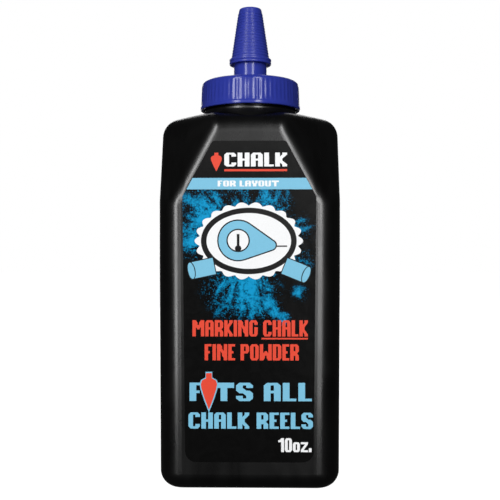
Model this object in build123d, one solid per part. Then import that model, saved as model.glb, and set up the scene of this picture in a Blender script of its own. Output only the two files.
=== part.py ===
from build123d import *

import os
from math import cos, radians, sin

# A squeeze bottle of marking-chalk powder with a screw-on nozzle cap and a pull-off tip cover.
# Lengths are in millimetres. The origin is at the centre of the base, +Z is up, and the front
# label faces -Y.

# Bottle body
HALF_WIDTH = 34.8
HALF_DEPTH = 23.0
BASE_NARROWING = 0.45  # how much less the half width is at the base
NARROWING_Z = 85.0  # the sides are upright above this
CORNER_R = 9.0  # upright corners
WALL = 1.2
SHOULDER_Z = 144.8  # crown of the shoulder
SHOULDER_CROWN_R = 230.0  # the shoulder curves down towards both sides
SHOULDER_EDGE_R = 7.5
PANEL_TOP_R = 9.0  # where the shoulder rolls over into the front and back panels
BASE_EDGE_R = 6.5
BASE_THICK = 2.8  # floor inside the bottle, above the table
PUSH_UP = 1.4  # depth of the hollow under the base
PUSH_UP_MARGIN = 9.0  # width of the rim that the bottle stands on
PUSH_UP_CORNER_R = 7.0
PUSH_UP_EDGE_R = 1.0

# Corner facets: (x, z) of the lower and upper end of the edge each shares with its panel
FACET_FOOT = (27.5, 111.1)
FACET_TOP = (11.9, 139.8)
FACET_LEAN = 40.0  # degrees a facet leans back from the panel

# Neck finish
NECK_RING_R = 18.5
NECK_RING_TOP = 146.6
NECK_RING_EDGE_R = 0.6
NECK_R = 17.4  # under the thread
NECK_BORE_R = 14.6
NECK_TOP = 155.5
NECK_LIP_R = 0.4

# Thread, single start and right-handed
THREAD_LEAD = 4.23
THREAD_CREST_R = 18.5
THREAD_TURNS = 1.05
THREAD_START_Z = 149.7
THREAD_FLANK_GAP = 0.3  # between the closed cap's thread and the underside of the neck's
CAP_THREAD_ANGLE = 120.0  # how far round from the neck's thread the cap's one starts
ROOT_WIDTH = 2.2
CREST_WIDTH = 0.9
THREAD_ROOT_SINK = 0.3  # how far a ridge is rooted in its wall

# Nozzle cap
CAP_BOTTOM = 146.9
CAP_TOP = 158.1
CAP_R = 19.6
CAP_TOP_R = 19.3
CAP_BORE_R = 18.75
CAP_ROOF = 156.6  # underside of the cap's top plate
CAP_EDGE_R = 1.5
CAP_BEAD_R = 20.05
CAP_BEAD_HEIGHT = 1.1
CAP_BEAD_FLARE = 1.1  # height over which the skirt widens to the bead
CAP_THREAD_CREST_R = 17.65
SPOUT_R = 6.6
SPOUT_TOP = 167.2
SPOUT_BORE_R = 5.2
SPOUT_FOOT_R = 0.6
NOZZLE_R = 5.6  # at its foot
NOZZLE_TIP_R = 3.2
NOZZLE_LAND_Z = 180.5  # the nozzle is straight above this
NOZZLE_TOP = 185.0
OUTLET_R = 2.0
TIP_EDGE_R = 0.4

# Sealing ring
RING_R = 18.4
RING_HOLE_R = 13.6
RING_THICK = 1.0
RING_GAP = 0.05  # under the cap's top plate and over the neck

# Tip cover
COVER_BOTTOM = 165.35
COVER_TOP = 188.0
COVER_WALL = 1.0
COVER_FOOT_R = 7.42  # just above its flange
COVER_TIP_R = 4.37
COVER_TIP_EDGE_R = 0.8
FLANGE_R = 8.4
FLANGE_TOP = 167.65
FLANGE_GROOVE = 0.22
FLANGE_EDGE_R = 0.35
RIB_COUNT = 16
RIB_DEPTH = 0.14
RIB_TOP_MARGIN = 2.6  # smooth stretch below the cover's top
COVER_GRIP_GAP = 0.06  # around the spout, inside the flange
COVER_GRIP_R = SPOUT_R + COVER_GRIP_GAP
PLUG_R = OUTLET_R - COVER_GRIP_GAP  # the pin inside the cover that closes the outlet
PLUG_BOTTOM = 183.6

# Powder
POWDER_Z = 127.0  # level it is filled to
POWDER_GAP = 0.05  # from the bottle's wall

# Labels: the corners of one half as (x, z)
LABEL_THICK = 0.15
LABEL_FOOT = (24.1, 11.2)
LABEL_SHOULDER = (25.2, 111.2)
LABEL_TOP = (13.8, 132.1)
LABEL_TOP_R = 1.2
LABEL_FOOT_R = 4.2


def facet_plane(side, face, inset):
    """Plane of the facet on one upper corner. side is the sign of X and face the sign of Y."""
    foot_x, foot_z = FACET_FOOT
    top_x, top_z = FACET_TOP
    edge = Vector(top_x - foot_x, 0, top_z - foot_z).normalized()
    lean = radians(FACET_LEAN)
    normal = Vector(side * edge.Z * sin(lean), face * cos(lean), -edge.X * sin(lean))
    foot = Vector(side * foot_x, face * HALF_DEPTH, foot_z)
    return Plane(origin=foot - normal * inset, z_dir=normal)


def body_shape(inset, floor):
    """The bottle's body with every wall face moved inwards by inset, standing on floor."""
    depth = 2 * (HALF_DEPTH - inset)
    half_widths = {floor: HALF_WIDTH - BASE_NARROWING, NARROWING_Z: HALF_WIDTH, SHOULDER_Z: HALF_WIDTH}
    sections = [
        Pos(0, 0, z) * RectangleRounded(2 * (half_width - inset), depth, CORNER_R - inset)
        for z, half_width in half_widths.items()
    ]
    shape = loft(sections, ruled=True)
    crown = Cylinder(SHOULDER_CROWN_R - inset, 4 * HALF_DEPTH)
    shape &= Pos(0, 0, SHOULDER_Z - SHOULDER_CROWN_R) * Rot(90, 0, 0) * crown
    for side in (-1, 1):
        for face in (-1, 1):
            shape = split(shape, bisect_by=facet_plane(side, face, inset), keep=Keep.BOTTOM)
    shape = fillet(shape.edges().group_by(Axis.Z)[-1], PANEL_TOP_R - inset)
    facet_bottom = FACET_FOOT[1] - CORNER_R
    upper_edges = shape.edges().filter_by(lambda edge: edge.center().Z > facet_bottom)
    shape = fillet(upper_edges, SHOULDER_EDGE_R - inset)
    base_edges = shape.faces().sort_by(Axis.Z)[0].edges()
    return fillet(base_edges, BASE_EDGE_R - inset)


def thread_ridge(root_r, crest_r, start_z):
    """One ridge of thread: a trapezoid swept up a right-hand helix."""
    inward = 1 if crest_r < root_r else -1
    sunk_r = root_r + inward * THREAD_ROOT_SINK
    path = Pos(0, 0, start_z) * Helix(THREAD_LEAD, THREAD_TURNS * THREAD_LEAD, root_r)
    section = Polygon(
        (sunk_r - root_r, -ROOT_WIDTH / 2),
        (sunk_r - root_r, ROOT_WIDTH / 2),
        (crest_r - root_r, CREST_WIDTH / 2),
        (crest_r - root_r, -CREST_WIDTH / 2),
        align=None,
    )
    across = Plane(origin=path @ 0, x_dir=(1, 0, 0), z_dir=path % 0)
    return sweep(across * section, path=path, is_frenet=True)


def ring(outer_r, inner_r, bottom, top):
    """A plain upright tube."""
    return Pos(0, 0, bottom) * extrude(Circle(outer_r) - Circle(inner_r), top - bottom)


def cylinder(radius, bottom, top):
    """An upright cylinder between two heights."""
    return Pos(0, 0, bottom) * extrude(Circle(radius), top - bottom)


def make_bottle():
    """Blow-moulded shell with its neck finish."""
    neck_foot = SHOULDER_Z - SHOULDER_EDGE_R
    neck_ring = cylinder(NECK_RING_R, neck_foot, NECK_RING_TOP)
    neck_ring = fillet(neck_ring.edges().sort_by(Axis.Z)[-1], NECK_RING_EDGE_R)
    neck = cylinder(NECK_R, neck_foot, NECK_TOP)
    neck = fillet(neck.edges().sort_by(Axis.Z)[-1], NECK_LIP_R)
    shell = body_shape(0, 0) + neck_ring + neck
    shell -= body_shape(WALL, BASE_THICK)
    shell -= cylinder(NECK_BORE_R, neck_foot, NECK_TOP)
    width = 2 * (HALF_WIDTH - PUSH_UP_MARGIN)
    depth = 2 * (HALF_DEPTH - PUSH_UP_MARGIN)
    hollow = extrude(RectangleRounded(width, depth, PUSH_UP_CORNER_R), PUSH_UP)
    hollow = fillet(hollow.faces().sort_by(Axis.Z)[-1].edges(), PUSH_UP_EDGE_R)
    return shell - hollow + thread_ridge(NECK_R, THREAD_CREST_R, THREAD_START_Z)


def make_powder():
    """Chalk powder up to its level, a hair off the wall."""
    gap = WALL + POWDER_GAP
    fill = body_shape(gap, BASE_THICK + POWDER_GAP)
    level = Plane(origin=(0, 0, POWDER_Z))
    return split(fill, bisect_by=level, keep=Keep.BOTTOM)


def make_label(face):
    """Thin label on the front (face -1) or back (face 1) panel."""
    half = [LABEL_FOOT, LABEL_SHOULDER, LABEL_TOP]
    other_half = [(-x, z) for x, z in reversed(half)]
    outline = Polygon(*half, *other_half, align=None)
    outline = fillet(outline.vertices().sort_by(Axis.Y)[:2], LABEL_FOOT_R)
    outline = fillet(outline.vertices().sort_by(Axis.Y)[-2:], LABEL_TOP_R)
    panel = Plane(origin=(0, face * HALF_DEPTH, 0), x_dir=(-face, 0, 0), z_dir=(0, face, 0))
    return extrude(panel * outline, LABEL_THICK)


def make_sealing_ring():
    """Foam ring between the cap's top plate and the neck."""
    top = CAP_ROOF - RING_GAP
    return ring(RING_R, RING_HOLE_R, top - RING_THICK, top)


def round_corners(section, rounds):
    """Rounds corners of a half section: rounds gives a radius for each corner's (x, z)."""
    for (x, z), radius in rounds.items():
        section = fillet(section.vertices().sort_by_distance((x, 0, z))[0], radius)
    return section


def cap_profile():
    """Half section of the cap and nozzle in the XZ plane."""
    bead_top = CAP_BOTTOM + CAP_BEAD_HEIGHT
    flare_top = bead_top + CAP_BEAD_FLARE
    outline = Polyline(
        (CAP_BORE_R, CAP_BOTTOM),
        (CAP_BEAD_R, CAP_BOTTOM),
        (CAP_BEAD_R, bead_top),
        (CAP_R, flare_top),
        (CAP_TOP_R, CAP_TOP),
        (SPOUT_R, CAP_TOP),
        (SPOUT_R, SPOUT_TOP),
        (NOZZLE_R, SPOUT_TOP),
        (NOZZLE_TIP_R, NOZZLE_LAND_Z),
        (NOZZLE_TIP_R, NOZZLE_TOP),
        (OUTLET_R, NOZZLE_TOP),
        (OUTLET_R, NOZZLE_LAND_Z),
        (NOZZLE_R - WALL, SPOUT_TOP),
        (SPOUT_BORE_R, SPOUT_TOP - WALL),
        (SPOUT_BORE_R, CAP_ROOF),
        (CAP_BORE_R, CAP_ROOF),
        close=True,
    )
    section = make_face(Plane.XZ * outline)
    rounds = {
        (CAP_TOP_R, CAP_TOP): CAP_EDGE_R,
        (SPOUT_R, CAP_TOP): SPOUT_FOOT_R,
        (SPOUT_R, SPOUT_TOP): TIP_EDGE_R,
        (NOZZLE_TIP_R, NOZZLE_TOP): TIP_EDGE_R,
        (CAP_BEAD_R, CAP_BOTTOM): TIP_EDGE_R,
        (CAP_BEAD_R, bead_top): 2 * TIP_EDGE_R,
        (CAP_R, flare_top): 2 * TIP_EDGE_R,
    }
    return round_corners(section, rounds)


def make_nozzle_cap():
    """Screw cap in one piece with its spout and tapered nozzle."""
    under_neck_ridge = THREAD_START_Z - ROOT_WIDTH / 2 - CREST_WIDTH / 2 - THREAD_FLANK_GAP
    start_z = under_neck_ridge + THREAD_LEAD * CAP_THREAD_ANGLE / 360
    ridge = Rot(0, 0, CAP_THREAD_ANGLE) * thread_ridge(CAP_BORE_R, CAP_THREAD_CREST_R, start_z)
    return revolve(cap_profile(), Axis.Z) + ridge


def cover_radius(z):
    """Radius of the cover's cone at a height."""
    share = (z - FLANGE_TOP) / (COVER_TOP - FLANGE_TOP)
    return COVER_FOOT_R + share * (COVER_TIP_R - COVER_FOOT_R)


def cover_ribs():
    """Points of the ribbed cone from its foot up: a small ledge at the top of each rib."""
    pitch = (COVER_TOP - RIB_TOP_MARGIN - FLANGE_TOP) / RIB_COUNT
    points = []
    for rib in range(RIB_COUNT):
        foot = FLANGE_TOP + rib * pitch
        points.append((cover_radius(foot), foot))
        points.append((cover_radius(foot + pitch) + RIB_DEPTH, foot + pitch))
    return points


def make_tip_cover():
    """Ribbed cone with a pull flange of two beads, hollow over the nozzle."""
    flange_mid = (COVER_BOTTOM + FLANGE_TOP) / 2
    bore_foot = SPOUT_TOP + COVER_GRIP_GAP
    outline = Polyline(
        (COVER_GRIP_R, COVER_BOTTOM),
        (FLANGE_R, COVER_BOTTOM),
        (FLANGE_R, flange_mid - FLANGE_GROOVE),
        (FLANGE_R - FLANGE_GROOVE, flange_mid),
        (FLANGE_R, flange_mid + FLANGE_GROOVE),
        (FLANGE_R, FLANGE_TOP),
        *cover_ribs(),
        (COVER_TIP_R, COVER_TOP),
        (0, COVER_TOP),
        (0, PLUG_BOTTOM),
        (PLUG_R, PLUG_BOTTOM),
        (PLUG_R, COVER_TOP - COVER_WALL),
        (COVER_TIP_R - COVER_WALL, COVER_TOP - COVER_WALL),
        (COVER_FOOT_R - COVER_WALL, FLANGE_TOP),
        (COVER_GRIP_R, bore_foot),
        close=True,
    )
    section = make_face(Plane.XZ * outline)
    rounds = {
        (COVER_TIP_R, COVER_TOP): COVER_TIP_EDGE_R,
        (FLANGE_R, COVER_BOTTOM): FLANGE_EDGE_R,
        (FLANGE_R, FLANGE_TOP): FLANGE_EDGE_R,
        (FLANGE_R, flange_mid - FLANGE_GROOVE): FLANGE_EDGE_R,
        (FLANGE_R, flange_mid + FLANGE_GROOVE): FLANGE_EDGE_R,
    }
    return revolve(round_corners(section, rounds), Axis.Z)


def export(node, part):
    """Write one node's STEP file."""
    export_step(part, f"parts/{node}.step")


os.makedirs("parts", exist_ok=True)
export("bottle", make_bottle())
export("chalk_powder", make_powder())
export("front_label", make_label(-1))
export("back_label", make_label(1))
export("sealing_ring", make_sealing_ring())
export("nozzle_cap", make_nozzle_cap())
export("tip_cover", make_tip_cover())
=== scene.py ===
from math import acos, atan2, cos, hypot, pi, radians, sin
from random import Random

import bmesh
import bpy
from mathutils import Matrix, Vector


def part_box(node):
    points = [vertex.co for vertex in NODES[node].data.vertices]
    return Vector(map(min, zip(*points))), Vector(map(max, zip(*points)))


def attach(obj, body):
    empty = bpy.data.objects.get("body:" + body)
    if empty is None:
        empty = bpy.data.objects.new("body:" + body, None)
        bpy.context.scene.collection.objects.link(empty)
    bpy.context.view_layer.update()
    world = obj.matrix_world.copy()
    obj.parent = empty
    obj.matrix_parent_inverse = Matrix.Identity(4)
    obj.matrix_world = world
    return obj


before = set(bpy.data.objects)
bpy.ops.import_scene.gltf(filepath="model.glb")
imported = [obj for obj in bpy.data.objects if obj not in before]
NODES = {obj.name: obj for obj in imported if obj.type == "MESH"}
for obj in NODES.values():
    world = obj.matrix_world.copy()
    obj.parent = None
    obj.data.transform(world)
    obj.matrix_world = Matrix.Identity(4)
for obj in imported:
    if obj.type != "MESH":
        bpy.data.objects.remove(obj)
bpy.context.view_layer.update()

# A squeeze bottle of marking chalk on a pale studio floor. Lengths are in metres, and sizes on
# the label are in millimetres from its lower edge and its middle.

MM = 0.001

# Camera
CAMERA_DISTANCE = 0.3437  # from the bottle's axis
CAMERA_HEIGHT = 0.0910  # above the floor
CAMERA_AZIMUTH = radians(1.0)  # to the right of the bottle's front
CAMERA_SIDE = -0.00014  # how far the camera is moved to its own right
CAMERA_LENS = 61.4  # focal length in millimetres
CAMERA_SENSOR = 36.0  # width in millimetres

# Studio light
LIGHT_DISTANCE = 1.0
LIGHT_AIM = Vector((0, 0, 0.095))
SOFTBOXES = {
    # azimuth to the right of the camera and elevation in degrees, width, height and radiance
    "left_strip": (-31, 14, 0.20, 0.95, 15.0),
    "right_strip": (18, 14, 0.17, 0.95, 16.0),
    "front_fill": (0, 15, 0.60, 0.28, 1.1),
    "back_fill": (180, 50, 0.60, 0.40, 2.0),
    "back_left_strip": (-166, 8, 0.12, 0.95, 2.5),
    "back_right_strip": (168, 8, 0.12, 0.95, 2.5),
}
AMBIENT = 0.028  # strength of the light from all round

# Label print
INK_THICK = 0.02 * MM
INK_LIFT = 0.004 * MM  # ink starts this far inside what it lies on, so that no gap shows
BADGE_CENTRE = (-0.2, 83.2)  # in millimetres, from the label's middle and its foot

# How strongly each surface mirrors the lights
FILM_GLOSS = {"Specular IOR Level": 0.2}
CAP_GLOSS = {"Specular IOR Level": 0.3}


def colour(red, green, blue):
    """Linear colour from 0-255 display values."""
    shares = [value / 255 for value in (red, green, blue)]
    linear = [s / 12.92 if s <= 0.04045 else ((s + 0.055) / 1.055) ** 2.4 for s in shares]
    return (*linear, 1.0)


BLACK_PLASTIC = colour(3, 3, 3)
BLACK_FILM = colour(7, 7, 7)
BLACK_INK = colour(5, 5, 6)
RED_INK = colour(212, 68, 48)
PALE_BLUE_INK = colour(115, 178, 205)
WHITE_INK = colour(226, 227, 228)
CAP_BLUE = colour(38, 49, 137)
COVER_BLUE = colour(40, 51, 141)
CHALK_BLUE = colour(30, 110, 200)
FOAM_WHITE = colour(226, 225, 220)
PURE_WHITE = (1, 1, 1, 1)


# ---------------------------------------------------------------- shader building

def feed(tree, socket, value):
    """Links an output socket to an input socket, or sets the input's own value."""
    if isinstance(value, bpy.types.NodeSocket):
        tree.links.new(value, socket)
    else:
        socket.default_value = value


def node(tree, kind, inputs=None, **properties):
    """A new shader node. Each input is a value, or an output socket to link from."""
    made = tree.nodes.new(kind)
    for name, value in properties.items():
        setattr(made, name, value)
    for name, value in (inputs or {}).items():
        feed(tree, made.inputs[name], value)
    return made


def new_material(name, base, roughness, **sockets):
    """A principled material with its plain values set. Returns it with its tree and shader."""
    material = bpy.data.materials.new(name)
    material.use_nodes = True
    tree = material.node_tree
    shader = tree.nodes["Principled BSDF"]
    shader.inputs["Base Color"].default_value = base
    shader.inputs["Roughness"].default_value = roughness
    for socket, value in sockets.items():
        shader.inputs[socket].default_value = value
    return material, tree, shader


def place(tree):
    """Each point's place in the frame."""
    return node(tree, "ShaderNodeTexCoord").outputs["Object"]


def noise(tree, size, detail=2.0, distortion=0.0, stretch=(1, 1, 1)):
    """Noise from 0 to 1 whose blobs are about size across."""
    scaled = node(tree, "ShaderNodeMapping", {"Vector": place(tree), "Scale": stretch})
    inputs = {"Vector": scaled.outputs[0], "Scale": 1 / size, "Detail": detail}
    return node(tree, "ShaderNodeTexNoise", {**inputs, "Distortion": distortion}).outputs["Fac"]


def spread(tree, value, low, high, new_low, new_high, smooth=False):
    """value, moved from the range low-high to new_low-new_high and held there."""
    bounds = {"From Min": low, "From Max": high, "To Min": new_low, "To Max": new_high}
    kind = "SMOOTHSTEP" if smooth else "LINEAR"
    made = node(tree, "ShaderNodeMapRange", {"Value": value, **bounds}, interpolation_type=kind)
    return made.outputs["Result"]


def maths(tree, operation, first, second):
    """The result of one arithmetic node."""
    return node(tree, "ShaderNodeMath", {0: first, 1: second}, operation=operation).outputs[0]


def vector_maths(tree, operation, first, second=(0, 0, 0)):
    """One node of vector arithmetic."""
    return node(tree, "ShaderNodeVectorMath", {0: first, 1: second}, operation=operation)


def mix(tree, share, first, second):
    """A colour between first and second."""
    made = node(tree, "ShaderNodeMix", data_type="RGBA")
    for name, value in {"Factor": share, "A": first, "B": second}.items():
        socket = next(s for s in made.inputs if s.name == name and s.enabled)
        feed(tree, socket, value)
    return next(s for s in made.outputs if s.enabled)


def bump(tree, height, depth, below=None):
    """Normals for a surface that rises by depth where height is 1."""
    inputs = {"Height": height, "Distance": depth, "Strength": 1.0}
    if below is not None:
        inputs["Normal"] = below
    return node(tree, "ShaderNodeBump", inputs).outputs["Normal"]


def edge_wear(tree, radius):
    """1 on sharp outer edges and 0 on flat faces."""
    rounded = node(tree, "ShaderNodeBevel", {"Radius": radius}, samples=4).outputs[0]
    true_normal = node(tree, "ShaderNodeNewGeometry").outputs["True Normal"]
    facing = vector_maths(tree, "DOT_PRODUCT", rounded, true_normal).outputs["Value"]
    return spread(tree, facing, 0.99, 0.80, 0.0, 1.0)


def moulded_plastic(name, base, pale, roughness, grain, depth, **sockets):
    """Moulded plastic: faint flow marks, a fine grain and edges rubbed paler."""
    material, tree, shader = new_material(name, base, roughness, **sockets)
    flow = noise(tree, 9 * MM, detail=3.0, distortion=0.6, stretch=(1, 1, 0.35))
    fine = noise(tree, grain, detail=2.0)
    toned = mix(tree, spread(tree, flow, 0.35, 0.75, 0.0, 0.18), base, pale)
    worn = maths(tree, "MULTIPLY", edge_wear(tree, 0.4 * MM), spread(tree, fine, 0.4, 0.7, 0.0, 0.35))
    tree.links.new(mix(tree, worn, toned, pale), shader.inputs["Base Color"])
    patchy = spread(tree, flow, 0.3, 0.7, roughness - 0.03, roughness + 0.04)
    tree.links.new(patchy, shader.inputs["Roughness"])
    wavy = bump(tree, flow, 0.02 * MM)
    tree.links.new(bump(tree, fine, depth, wavy), shader.inputs["Normal"])
    return material


def rolled_margins(material):
    """Tilts the flat margins beside the labels outwards, as if the panels rolled into the corners."""
    inside, outside, fall_depth = 1.2 * MM, 1.4 * MM, 0.09 * MM
    tree = material.node_tree
    shader = tree.nodes["Principled BSDF"]
    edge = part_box("front_label")[1].x
    across = node(tree, "ShaderNodeSeparateXYZ", {0: place(tree)}).outputs["X"]
    aside = node(tree, "ShaderNodeMath", {0: across}, operation="ABSOLUTE").outputs[0]
    fall = spread(tree, aside, edge - inside, edge + outside, 1.0, 0.0, smooth=True)
    below = shader.inputs["Normal"].links[0].from_socket
    tree.links.new(bump(tree, fall, fall_depth, below), shader.inputs["Normal"])


def label_point(x, height):
    """A place on the front label, from its middle and its foot in millimetres."""
    low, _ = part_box("front_label")
    return Vector((x * MM, low.y, low.z + height * MM))


POWDER_PUFFS = [
    # x, height above the label's foot, radius and strength
    (-16, 94, 15, 1.10),
    (-22, 83, 10, 0.95),
    (-4, 99, 9, 0.80),
    (9, 98, 10, 0.85),
    (19, 88, 8, 0.60),
    (20, 76, 7, 0.45),
    (-3, 66, 19, 1.15),
    (5, 60, 9, 0.95),
    (9, 57, 5, 0.90),
    (13, 54, 4, 0.80),
    (-13, 67, 7, 0.55),
    (19, 64, 5, 0.50),
]
POWDER_TONES = {
    # thickness of the powder, and its colour there
    0.00: BLACK_FILM,
    0.08: colour(1, 18, 26),
    0.22: colour(0, 46, 68),
    0.45: colour(0, 90, 126),
    0.75: colour(4, 120, 162),
    1.00: colour(14, 138, 186),
}
RAY_COUNT = 7  # how many times the noise changes in a radian round the badge
RAY_CHANGE = 0.09 / MM  # and how often it changes along a ray
BROAD_SHARE, FINE_SHARE, RAY_SHARE = 1.5, 2.3, 2.4  # of each noise in the powder's grain
GRAIN_LEVEL = 3.45  # the grain that leaves the powder as thick as its puff
POWDER_GAIN = 1.15


def streaks(tree, centre):
    """Noise from 0 to 1 drawn out in rays from a centre on the label."""
    offset = vector_maths(tree, "SUBTRACT", place(tree), centre).outputs[0]
    ray = vector_maths(tree, "NORMALIZE", offset).outputs[0]
    away = vector_maths(tree, "LENGTH", offset).outputs["Value"]
    along = node(tree, "ShaderNodeCombineXYZ", {"Y": maths(tree, "MULTIPLY", away, RAY_CHANGE)})
    spun = vector_maths(tree, "MULTIPLY", ray, (RAY_COUNT, 0, RAY_COUNT)).outputs[0]
    vector = vector_maths(tree, "ADD", spun, along.outputs[0]).outputs[0]
    inputs = {"Vector": vector, "Scale": 1.0, "Detail": 5.0, "Distortion": 0.5}
    return node(tree, "ShaderNodeTexNoise", inputs).outputs["Fac"]


def powder_puffs(tree):
    """How much powder each place gets from the strongest puff round it, before any grain."""
    cloud = None
    for x, height, radius, strength in POWDER_PUFFS:
        away = vector_maths(tree, "DISTANCE", place(tree), label_point(x, height)).outputs["Value"]
        puff = spread(tree, away, radius * MM, 0.0, 0.0, strength, smooth=True)
        cloud = puff if cloud is None else maths(tree, "MAXIMUM", cloud, puff)
    return cloud


def powder(tree, broad):
    """Thickness of the powder: puffs broken up by grain and rays, with loose specks round them."""
    cloud = powder_puffs(tree)
    fine = noise(tree, 0.9 * MM, detail=6.0, distortion=1.2)
    rays = streaks(tree, label_point(*BADGE_CENTRE))
    grain = maths(tree, "MULTIPLY", broad, BROAD_SHARE)
    grain = maths(tree, "ADD", grain, maths(tree, "MULTIPLY", fine, FINE_SHARE))
    grain = maths(tree, "ADD", grain, maths(tree, "MULTIPLY", rays, RAY_SHARE))
    thick = maths(tree, "ADD", cloud, maths(tree, "SUBTRACT", grain, GRAIN_LEVEL))
    specks = spread(tree, noise(tree, 0.55 * MM, detail=2.0), 0.62, 0.70, 0.0, 0.8)
    thick = maths(tree, "MAXIMUM", maths(tree, "MULTIPLY", thick, POWDER_GAIN), specks)
    return maths(tree, "MULTIPLY", thick, spread(tree, cloud, 0.0, 0.3, 0.0, 1.0))


def label_film():
    """Black printed film with a burst of blue powder round the badge."""
    material, tree, shader = new_material("label_film", BLACK_FILM, 0.22, **FILM_GLOSS)
    broad = noise(tree, 6 * MM, detail=6.0, distortion=1.8)
    ramp = node(tree, "ShaderNodeValToRGB", {"Fac": powder(tree, broad)})
    stops = ramp.color_ramp.elements
    stops.remove(stops[1])
    for position, tone in POWDER_TONES.items():
        stop = stops.new(position) if position else stops[0]
        stop.color = tone
    tree.links.new(ramp.outputs["Color"], shader.inputs["Base Color"])
    tree.links.new(spread(tree, broad, 0.3, 0.7, 0.20, 0.25), shader.inputs["Roughness"])
    tree.links.new(bump(tree, noise(tree, 4 * MM), 0.01 * MM), shader.inputs["Normal"])
    return material


def plain_film():
    """Black film with no print."""
    material, tree, shader = new_material("plain_film", BLACK_FILM, 0.22, **FILM_GLOSS)
    broad = noise(tree, 7 * MM, detail=5.0, distortion=1.6)
    toned = mix(tree, spread(tree, broad, 0.4, 0.8, 0.0, 0.25), BLACK_FILM, colour(34, 34, 35))
    tree.links.new(toned, shader.inputs["Base Color"])
    tree.links.new(spread(tree, broad, 0.3, 0.7, 0.21, 0.28), shader.inputs["Roughness"])
    tree.links.new(bump(tree, noise(tree, 4 * MM), 0.01 * MM), shader.inputs["Normal"])
    return material


def print_ink(name, base):
    """Screen-printed ink: a little uneven in density, with a soft grain."""
    material, tree, shader = new_material(name, base, 0.35, **FILM_GLOSS)
    grain = noise(tree, 0.35 * MM, detail=3.0)
    dark = (*[channel * 0.8 for channel in base[:3]], 1.0)
    density = spread(tree, grain, 0.3, 0.6, 0.35, 0.0)
    tree.links.new(mix(tree, density, base, dark), shader.inputs["Base Color"])
    tree.links.new(spread(tree, grain, 0.3, 0.7, 0.30, 0.42), shader.inputs["Roughness"])
    tree.links.new(bump(tree, grain, 0.004 * MM), shader.inputs["Normal"])
    return material


def chalk():
    """Loose blue chalk powder."""
    material, tree, shader = new_material("chalk", CHALK_BLUE, 0.95)
    clumps = noise(tree, 1.6 * MM, detail=6.0)
    toned = mix(tree, clumps, colour(12, 70, 160), colour(70, 150, 225))
    tree.links.new(toned, shader.inputs["Base Color"])
    tree.links.new(bump(tree, clumps, 0.4 * MM), shader.inputs["Normal"])
    return material


def foam():
    """White closed-cell foam of the sealing ring."""
    material, tree, shader = new_material("foam", FOAM_WHITE, 0.8)
    cells = node(tree, "ShaderNodeTexVoronoi", {"Vector": place(tree), "Scale": 1 / (0.35 * MM)})
    pores = cells.outputs["Distance"]
    tree.links.new(mix(tree, pores, FOAM_WHITE, colour(196, 195, 190)), shader.inputs["Base Color"])
    tree.links.new(bump(tree, pores, 0.03 * MM), shader.inputs["Normal"])
    return material


# ---------------------------------------------------------------- mesh building

def add_piece(name, shell, material, body):
    """Turns a bmesh into a piece that rides on a body."""
    bmesh.ops.recalc_face_normals(shell, faces=shell.faces)
    mesh = bpy.data.meshes.new(name)
    shell.to_mesh(mesh)
    shell.free()
    mesh.materials.append(material)
    piece = bpy.data.objects.new(name, mesh)
    bpy.context.scene.collection.objects.link(piece)
    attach(piece, body)
    return piece


def smooth(thing, angle):
    """Smooth shading, with edges sharper than angle kept crisp."""
    for face in thing.data.polygons:
        face.use_smooth = True
    thing.data.set_sharp_from_angle(angle=radians(angle))


def repaint(name, material, angle=35):
    """Gives a CAD node its finished material."""
    thing = NODES[name]
    thing.data.materials.clear()
    thing.data.materials.append(material)
    smooth(thing, angle)


def reach(name, start, direction):
    """Where a ray from start first meets a CAD node."""
    hit, point, _, _ = NODES[name].ray_cast(start, direction)
    if not hit:
        raise ValueError(f"the ray from {start} misses {name}")
    return point


# ---------------------------------------------------------------- label print

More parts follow.
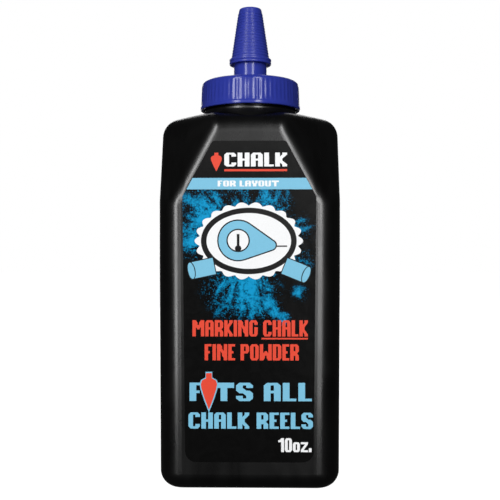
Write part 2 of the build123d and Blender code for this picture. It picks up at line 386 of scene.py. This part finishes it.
FRONT, BACK = -1, 1  # the way along Y that each label faces
GLYPH_ROWS = 7
LETTER_GAP = 0.6  # of a column
GLYPHS = {
    # '#' is a full cell. a, b, c and d are cells cut across, filled towards their lower right,
    # lower left, upper right and upper left corner.
    "A": ["a###b", "##.##", "##.##", "#####", "##.##", "##.##", "##.##"],
    "C": ["a###b", "##.##", "##...", "##...", "##...", "##.##", "c###d"],
    "D": ["####b", "##.##", "##.##", "##.##", "##.##", "##.##", "####d"],
    "E": ["####", "##..", "##..", "###.", "##..", "##..", "####"],
    "F": ["####", "##..", "##..", "###.", "##..", "##..", "##.."],
    "G": ["a###b", "##.##", "##...", "##.##", "##.##", "##.##", "c###d"],
    "H": ["##.##", "##.##", "##.##", "#####", "##.##", "##.##", "##.##"],
    "I": ["##", "##", "##", "##", "##", "##", "##"],
    "K": ["##.##", "##a#d", "###d.", "###..", "###b.", "##c#b", "##.##"],
    "L": ["##..", "##..", "##..", "##..", "##..", "##..", "####"],
    "M": ["##b.a##", "###.###", "#######", "##c#d##", "##...##", "##...##", "##...##"],
    "N": ["##b.##", "###.##", "###b##", "##c###", "##.###", "##.c##", "##..##"],
    "O": ["a###b", "##.##", "##.##", "##.##", "##.##", "##.##", "c###d"],
    "P": ["####b", "##.##", "##.##", "####d", "##...", "##...", "##..."],
    "R": ["####b", "##.##", "##.##", "####d", "####b", "##.##", "##.##"],
    "S": ["a###b", "##.##", "##b..", "c###b", "..c##", "##.##", "c###d"],
    "T": ["######", "######", "..##..", "..##..", "..##..", "..##..", "..##.."],
    "U": ["##.##", "##.##", "##.##", "##.##", "##.##", "##.##", "c###d"],
    "W": ["##...##", "##...##", "##...##", "##a#b##", "#######", "###.###", "##d.c##"],
    "Y": ["##.##", "##.##", "##.##", "c###d", ".###.", ".###.", ".###."],
    "1": [".a##", "####", "..##", "..##", "..##", "..##", "..##"],
    "0": ["a###b", "##.##", "##.##", "##.##", "##.##", "##.##", "c###d"],
    "o": [".....", ".....", "a###b", "##.##", "##.##", "##.##", "c###d"],
    "z": [".....", ".....", "#####", "..a#d", ".a#d.", "a#d..", "#####"],
    ".": ["..", "..", "..", "..", "..", "##", "##"],
    " ": ["..", "..", "..", "..", "..", "..", ".."],
}
CELL_CORNERS = {
    # corners of each kind of cell, anticlockwise, as shares of its width and height
    "#": [(0, 0), (1, 0), (1, 1), (0, 1)],
    "a": [(0, 0), (1, 0), (1, 1)],
    "b": [(0, 0), (1, 0), (0, 1)],
    "c": [(1, 0), (1, 1), (0, 1)],
    "d": [(0, 0), (1, 1), (0, 1)],
}


def letter_faces(text, left, right, foot, top):
    """Outlines of the cells of a line of block letters, as (x, height) in millimetres."""
    columns = sum(len(GLYPHS[letter][0]) for letter in text) + LETTER_GAP * (len(text) - 1)
    width = (right - left) / columns
    height = (top - foot) / GLYPH_ROWS
    faces = []
    start = left
    for letter in text:
        rows = GLYPHS[letter]
        for row, cells in enumerate(reversed(rows)):
            for column, cell in enumerate(cells):
                if cell not in CELL_CORNERS:
                    continue
                side, base = start + column * width, foot + row * height
                faces.append([(side + x * width, base + y * height) for x, y in CELL_CORNERS[cell]])
        start += (len(rows[0]) + LETTER_GAP) * width
    return faces


def ink_piece(name, outlines, material, layer=0, face=FRONT):
    """Print on a label, from outlines in millimetres. Each layer lies on the one below."""
    label = "front_label" if face == FRONT else "back_label"
    low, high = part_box(label)
    outside = low.y if face == FRONT else high.y
    surface = outside + face * (layer * INK_THICK - INK_LIFT)
    shell = bmesh.new()
    corners = {}
    for outline in outlines:
        ring = []
        for x, height in outline:
            key = (round(x, 4), round(height, 4))
            if key not in corners:
                corners[key] = shell.verts.new((x * MM * -face, surface, low.z + height * MM))
            ring.append(corners[key])
        shell.faces.new(ring)
    raised = bmesh.ops.extrude_face_region(shell, geom=shell.faces[:])
    for vertex in raised["geom"]:
        if isinstance(vertex, bmesh.types.BMVert):
            vertex.co.y += face * INK_THICK
    return add_piece(name, shell, material, "bottle")


def bar(left, right, foot, top):
    """Outline of a plain rectangle."""
    return [(left, foot), (right, foot), (right, top), (left, top)]


def oval(x, height, half_width, half_height, count=64):
    """Points round an oval."""
    turns = [2 * pi * step / count for step in range(count)]
    return [(x + half_width * cos(turn), height + half_height * sin(turn)) for turn in turns]


def band(outside, inside):
    """Outlines of the band between two closed rows of points."""
    count = len(outside)
    return [
        [outside[step], outside[(step + 1) % count], inside[(step + 1) % count], inside[step]]
        for step in range(count)
    ]


def scallops(x, height, half_width, half_height, lobes, depth, count=180):
    """Points round an oval seal whose edge is made of rounded lobes."""
    points = []
    for step in range(count):
        turn = 2 * pi * step / count
        share = 1 - depth * (1 - abs(cos(lobes * turn / 2)))
        points.append((x + half_width * share * cos(turn), height + half_height * share * sin(turn)))
    return points


def taper(start, start_r, end, end_r, count=24):
    """Outline of a shape that narrows from one circle to a smaller one to its right."""
    (x, height), (end_x, end_height) = start, end
    slant = atan2(end_height - height, end_x - x)
    open_half = acos((start_r - end_r) / hypot(end_x - x, end_height - height))
    points = []
    for step in range(count + 1):
        turn = slant + open_half + (2 * pi - 2 * open_half) * step / count
        points.append((x + start_r * cos(turn), height + start_r * sin(turn)))
    for step in range(count + 1):
        turn = slant - open_half + 2 * open_half * step / count
        points.append((end_x + end_r * cos(turn), end_height + end_r * sin(turn)))
    return points


EDGE_GAP = 0.1  # from the end of a stripe to the label's edge, in millimetres


def label_edge(height):
    """Half width of the labels at a height above their foot, in millimetres."""
    low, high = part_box("front_label")
    start = Vector((2 * high.x, (low.y + high.y) / 2, low.z + height * MM))
    return reach("front_label", start, Vector((-1, 0, 0))).x / MM


def stripe(foot, top):
    """Outline of a stripe across a label, just short of both its edges."""
    low_edge = label_edge(foot) - EDGE_GAP
    high_edge = label_edge(top) - EDGE_GAP
    return [(-low_edge, foot), (low_edge, foot), (high_edge, top), (-high_edge, top)]


def print_header(red, pale, white):
    """The word, rule and plumb bob at the top of the label, and the stripe below them."""
    left, right = -9.4, 14.2
    ink_piece("header_word", letter_faces("CHALK", left, right, 111.2, 116.4), white)
    ink_piece("header_rule", [bar(left, right, 109.4, 110.2)], red)
    ink_piece("header_bob", [plumb_bob(-12.4, 109.4, 2.1, 7.0)], red)
    ink_piece("stripe", [stripe(102.6, 106.9)], pale)
    ink_piece("stripe_word", letter_faces("FOR LAYOUT", -11.9, 11.1, 103.7, 105.9), white, layer=1)


def plumb_bob(x, foot, half_width, height):
    """Outline of a plumb bob: a point below, a round shoulder and a short neck."""
    shares = [(0, 0), (0.55, 0.32), (0.92, 0.58), (1, 0.70), (0.86, 0.80), (0.36, 0.86), (0.36, 1)]
    right = [(x + half_width * across, foot + height * up) for across, up in shares]
    left = [(2 * x - at, up) for at, up in reversed(right[1:])]
    return right + left


def print_badge(pale, white, black):
    """A scalloped seal with the picture of a chalk line reel."""
    x, height = BADGE_CENTRE
    edge = scallops(x, height, 20.4, 14.6, lobes=22, depth=0.09)
    groove = oval(x, height, 18.0, 12.5, len(edge))
    field = oval(x, height, 15.9, 10.5, len(edge))
    ink_piece("badge_edge", band(edge, groove), white)
    ink_piece("badge_groove", band(groove, field), black)
    ink_piece("badge_field", [field], white)
    line = 0.5  # thickness of the drawing's lines
    body, nose = (x - 4.0, height + 0.2), (x + 8.4, height - 1.6)
    body_r, nose_r, hub_r, knob_r = 7.4, 1.7, 3.9, 1.2
    ink_piece("reel_outline", [taper(body, body_r + line, nose, nose_r + line)], black, layer=1)
    ink_piece("reel_case", [taper(body, body_r, nose, nose_r)], pale, layer=2)
    rim, hub = oval(*body, hub_r + line, hub_r + line), oval(*body, hub_r, hub_r)
    ink_piece("reel_rim", band(rim, hub), black, layer=3)
    ink_piece("reel_hub", [hub], white, layer=3)
    crank = bar(body[0] - line, body[0] + line, body[1] - 3.2, body[1] + 2.4)
    ink_piece("reel_crank", [crank], black, layer=4)
    ink_piece("reel_knob", [oval(body[0], body[1] - 3.0, knob_r, knob_r)], black, layer=5)
    line_foot = nose[1] - 0.6
    chalk_line = bar(nose[0] + 2.0, nose[0] + 6.0, line_foot, line_foot + line)
    ink_piece("reel_line", [chalk_line], black, layer=1)


def turned(outline, middle, tilt):
    """An outline drawn about the origin, turned anticlockwise by tilt and moved to middle."""
    return [
        (middle[0] + x * cos(tilt) - y * sin(tilt), middle[1] + x * sin(tilt) + y * cos(tilt))
        for x, y in outline
    ]


def print_chalk_sticks(pale, black):
    """A tilted stick of chalk on each side, below the badge, with one end turned outwards."""
    half, radius, line, depth = 4.4, 3.1, 0.35, 1.2
    sticks = {
        # middle, the side that the open end faces, and tilt in degrees
        "left_stick": ((-17.5, 72.9), -1, 12),
        "right_stick": ((17.3, 72.2), 1, -22),
    }
    for name, (middle, side, tilt) in sticks.items():
        layers = {
            "_outline": (bar(-half - line, half + line, -radius - line, radius + line), black),
            "_side": (bar(-half, half, -radius, radius), pale),
            "_rim": (oval(side * half, 0, depth + line, radius + line), black),
            "_end": (oval(side * half, 0, depth, radius), pale),
        }
        for layer, (suffix, (outline, ink)) in enumerate(layers.items(), start=1):
            ink_piece(name + suffix, [turned(outline, middle, radians(tilt))], ink, layer=layer)


def print_back(red, pale, white):
    """A plumb bob, a stripe, a heading and lines of small print on the back label."""
    half_width, line_height, line_pitch, ragged = 20.0, 0.7, 2.4, 3.0
    foot, top = 96.0, 100.3
    edge = label_edge(foot) - EDGE_GAP
    ink_piece("back_stripe", [bar(-edge, edge, foot, top)], pale, face=BACK)
    heading = letter_faces("CHALK POWDER", -half_width, half_width, 86.0, 91.6)
    ink_piece("back_heading", heading, red, face=BACK)
    ink_piece("back_bob", [plumb_bob(0.0, 104.5, 3.0, 10.0)], red, face=BACK)
    dice = Random(9)
    lines = []
    for paragraph_top in (80.0, 60.0, 40.0):
        for line in range(6):
            height = paragraph_top - line_pitch * line
            right = half_width - ragged * dice.random()
            lines.append(bar(-half_width, right, height, height + line_height))
    ink_piece("back_small_print", lines, white, face=BACK)


def print_words(red, pale, white):
    """The lines of words below the badge, with a plumb bob in place of one letter."""
    ink_piece("product_line", letter_faces("MARKING CHALK", -21.4, 22.0, 47.3, 53.4), red)
    ink_piece("product_underline", [bar(4.6, 22.0, 46.2, 46.8)], red)
    ink_piece("powder_line", letter_faces("FINE POWDER", -16.8, 18.6, 38.3, 44.4), red)
    ink_piece("use_line_upper", letter_faces("F TS ALL", -22.5, 23.5, 23.0, 29.9), pale)
    ink_piece("use_bob_outline", [plumb_bob(-15.2, 18.6, 3.5, 15.4)], pale, layer=1)
    ink_piece("use_bob", [plumb_bob(-15.2, 19.7, 3.05, 13.8)], red, layer=2)
    ink_piece("use_line_lower", letter_faces("CHALK REELS", -22.9, 23.9, 12.6, 18.7), pale)
    ink_piece("weight_line", letter_faces("10oz.", 10.9, 23.4, 3.9, 9.1), white)


def print_labels():
    """Everything printed on the labels."""
    red = print_ink("red_ink", RED_INK)
    pale = print_ink("pale_blue_ink", PALE_BLUE_INK)
    white = print_ink("white_ink", WHITE_INK)
    black = print_ink("black_ink", BLACK_INK)
    print_back(red, pale, white)
    print_header(red, pale, white)
    print_badge(pale, white, black)
    print_chalk_sticks(pale, black)
    print_words(red, pale, white)


# ---------------------------------------------------------------- cap grip ribs

RIB_COUNT = 64
RIB_HEIGHT = 0.06 * MM  # the least height of a rib
RIB_EXTRA = 0.10 * MM  # the most that a rib is higher than that
RIB_ENDS = 0.1  # height of a rib at its two ends, as a share of its full height
RIB_SINK = 0.05 * MM  # how far a rib's back is inside the skirt
RIB_STEPS = 8  # faces along a rib
RIB_ARC = 8  # faces across a rib
SKIRT_RISE = 11.2 * MM  # from the cap's lower edge to its top face
RIB_FOOT = 1.6 * MM  # plain rim below the ribs
RIB_END = 1.5 * MM  # smooth stretch below the top face


def swell(share):
    """A smooth rise from 0 to 1 and back to 0 as share goes from 0 to 1."""
    return (1 - cos(2 * pi * share)) / 2


def skin(shell, rows):
    """Closes rows of points, each a ring of the same length, into a capped tube."""
    for lower, upper in zip(rows, rows[1:]):
        for spoke in range(len(lower)):
            after = (spoke + 1) % len(lower)
            shell.faces.new((lower[spoke], lower[after], upper[after], upper[spoke]))
    shell.faces.new(rows[0])
    shell.faces.new(rows[-1])


def grip_ribs(material):
    """Fine upright ribs side by side all round the cap's skirt."""
    low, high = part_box("nozzle_cap")
    bottom = low.z + RIB_FOOT
    top = low.z + SKIRT_RISE - RIB_END
    profile = []
    for step in range(RIB_STEPS + 1):
        z = bottom + (top - bottom) * step / RIB_STEPS
        skirt = reach("nozzle_cap", Vector((2 * high.x, 0, z)), Vector((-1, 0, 0))).x
        profile.append((skirt, z))
    dice = Random(5)
    pitch = 2 * pi / RIB_COUNT
    shell = bmesh.new()
    for rib in range(RIB_COUNT):
        height = RIB_HEIGHT + RIB_EXTRA * dice.random()
        rows = []
        for step, (skirt, z) in enumerate(profile):
            share = RIB_ENDS if step in (0, RIB_STEPS) else 1.0
            front = [
                (skirt + height * share * swell(spoke / RIB_ARC), pitch * (rib + spoke / RIB_ARC))
                for spoke in range(RIB_ARC + 1)
            ]
            back = [(skirt - RIB_SINK, angle) for _, angle in (front[-1], front[0])]
            corners = front + back
            rows.append([shell.verts.new((r * cos(a), r * sin(a), z)) for r, a in corners])
        skin(shell, rows)
    ribs = add_piece("cap_grip_ribs", shell, material, "nozzle_cap")
    smooth(ribs, 60)


# ---------------------------------------------------------------- neck collar

COLLAR_SPOKES = 128
COLLAR_PROFILE = [
    # radius and height above the base in millimetres: where the shoulder sweeps up to the neck ring
    (18.0, 141.5), (20.8, 141.5), (20.2, 142.5), (19.65, 143.4), (19.15, 144.2), (18.8, 144.8),
    (18.55, 145.4), (18.0, 145.4),
]


def lathe(shell, section, spokes):
    """Turns a closed section of (radius, z) points about the upright axis."""
    loops = []
    for spoke in range(spokes):
        around = 2 * pi * spoke / spokes
        loops.append([shell.verts.new((r * cos(around), r * sin(around), z)) for r, z in section])
    for spoke, loop in enumerate(loops):
        beside = loops[(spoke + 1) % spokes]
        for step in range(len(section)):
            after = (step + 1) % len(section)
            shell.faces.new((loop[step], loop[after], beside[after], beside[step]))


def neck_collar(material):
    """The sweep of the shoulder up to the neck ring."""
    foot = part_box("bottle")[0].z
    shell = bmesh.new()
    lathe(shell, [(radius * MM, foot + height * MM) for radius, height in COLLAR_PROFILE], COLLAR_SPOKES)
    collar = add_piece("neck_collar", shell, material, "bottle")
    smooth(collar, 40)


# ---------------------------------------------------------------- tip cover rings

RING_COUNT = 16
RING_THICK = 0.9 * MM
RING_STAND = 0.30 * MM  # how far a ring stands out of the cone
RING_FOOT = 3.4 * MM  # from the cover's lower edge to the first ring
RING_TOP = 2.6 * MM  # from the cover's top down to the last ring
RING_SPOKES = 96  # faces round the cone
RING_ARC = 8  # faces round a ring's section


def cover_rings(material):
    """Rounded rings up the tip cover's cone, one at the top of each of its ribs."""
    low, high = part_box("tip_cover")
    first = low.z + RING_FOOT
    last = high.z - RING_TOP
    shell = bmesh.new()
    for ring in range(RING_COUNT):
        z = first + (last - first) * ring / (RING_COUNT - 1)
        cone = reach("tip_cover", Vector((2 * high.x, 0, z + RING_THICK)), Vector((-1, 0, 0))).x
        turns = [2 * pi * step / RING_ARC for step in range(RING_ARC)]
        section = [(cone + RING_STAND * cos(turn), z + RING_THICK / 2 * sin(turn)) for turn in turns]
        lathe(shell, section, RING_SPOKES)
    rings = add_piece("cover_rings", shell, material, "tip_cover")
    smooth(rings, 60)


# ---------------------------------------------------------------- studio

def aim(thing, target):
    """Turns a light or camera towards a point."""
    thing.rotation_euler = (target - thing.location).to_track_quat("-Z", "Y").to_euler()


def add_softboxes():
    """Area lights round the bottle, the brighter ones on the camera's side."""
    for name, (azimuth, elevation, width, height, radiance) in SOFTBOXES.items():
        light = bpy.data.lights.new(name, "AREA")
        light.shape = "RECTANGLE"
        light.size = width
        light.size_y = height
        light.energy = radiance * pi * width * height
        lamp = bpy.data.objects.new(name, light)
        across = radians(azimuth) + CAMERA_AZIMUTH
        up = radians(elevation)
        towards = Vector((sin(across) * cos(up), -cos(across) * cos(up), sin(up)))
        lamp.location = LIGHT_AIM + towards * LIGHT_DISTANCE
        bpy.context.scene.collection.objects.link(lamp)
        aim(lamp, LIGHT_AIM)


def add_world():
    """A white surround that the camera sees, and a dim one that lights the bottle."""
    world = bpy.data.worlds.new("studio")
    bpy.context.scene.world = world
    world.use_nodes = True
    tree = world.node_tree
    dim = tree.nodes["Background"]
    dim.inputs["Color"].default_value = PURE_WHITE
    dim.inputs["Strength"].default_value = AMBIENT
    white = node(tree, "ShaderNodeBackground", {"Color": PURE_WHITE, "Strength": 1.0})
    seen = node(tree, "ShaderNodeLightPath").outputs["Is Camera Ray"]
    both = node(tree, "ShaderNodeMixShader", {0: seen, 1: dim.outputs[0], 2: white.outputs[0]})
    tree.links.new(both.outputs[0], tree.nodes["World Output"].inputs["Surface"])


def add_floor():
    """A plain pale floor, bright enough to look as white as the surround."""
    shell = bmesh.new()
    bmesh.ops.create_grid(shell, x_segments=8, y_segments=8, size=3.0)
    mesh = bpy.data.meshes.new("floor")
    shell.to_mesh(mesh)
    shell.free()
    floor = bpy.data.objects.new("floor", mesh)
    bpy.context.scene.collection.objects.link(floor)
    material, _, shader = new_material("floor_paint", (0.3, 0.3, 0.3, 1), 0.9)
    shader.inputs["Emission Color"].default_value = PURE_WHITE
    shader.inputs["Emission Strength"].default_value = 1.0
    mesh.materials.append(material)
    floor.visible_glossy = False
    floor.visible_diffuse = False


def add_camera():
    """Level camera in front of the label."""
    lens = bpy.data.cameras.new("camera")
    lens.lens = CAMERA_LENS
    lens.sensor_width = CAMERA_SENSOR
    camera = bpy.data.objects.new("camera", lens)
    rightwards = Vector((cos(CAMERA_AZIMUTH), sin(CAMERA_AZIMUTH), 0))
    backwards = Vector((sin(CAMERA_AZIMUTH), -cos(CAMERA_AZIMUTH), 0))
    target = CAMERA_SIDE * rightwards + Vector((0, 0, CAMERA_HEIGHT))
    camera.location = target + CAMERA_DISTANCE * backwards
    bpy.context.scene.collection.objects.link(camera)
    aim(camera, target)
    bpy.context.scene.camera = camera


# ---------------------------------------------------------------- the scene

def paint_parts():
    """Finished materials for the CAD nodes, and the pieces that share them."""
    worn_black, pale_cap, pale_cover = colour(16, 16, 17), colour(56, 66, 156), colour(60, 70, 160)
    black = moulded_plastic("black_plastic", BLACK_PLASTIC, worn_black, 0.28, 0.5 * MM, 0.004 * MM)
    grain, depth = 0.4 * MM, 0.001 * MM
    cap = moulded_plastic("cap_plastic", CAP_BLUE, pale_cap, 0.18, grain, depth, **CAP_GLOSS)
    cover = moulded_plastic("cover_plastic", COVER_BLUE, pale_cover, 0.34, grain, depth, **CAP_GLOSS)
    repaint("bottle", black)
    repaint("nozzle_cap", cap)
    repaint("tip_cover", cover)
    repaint("sealing_ring", foam())
    repaint("chalk_powder", chalk())
    repaint("front_label", label_film())
    repaint("back_label", plain_film())
    rolled_margins(black)
    neck_collar(black)
    grip_ribs(cap)
    cover_rings(cover)


bpy.context.scene.view_settings.view_transform = "Standard"
add_camera()
add_softboxes()
add_world()
add_floor()
paint_parts()
print_labels()
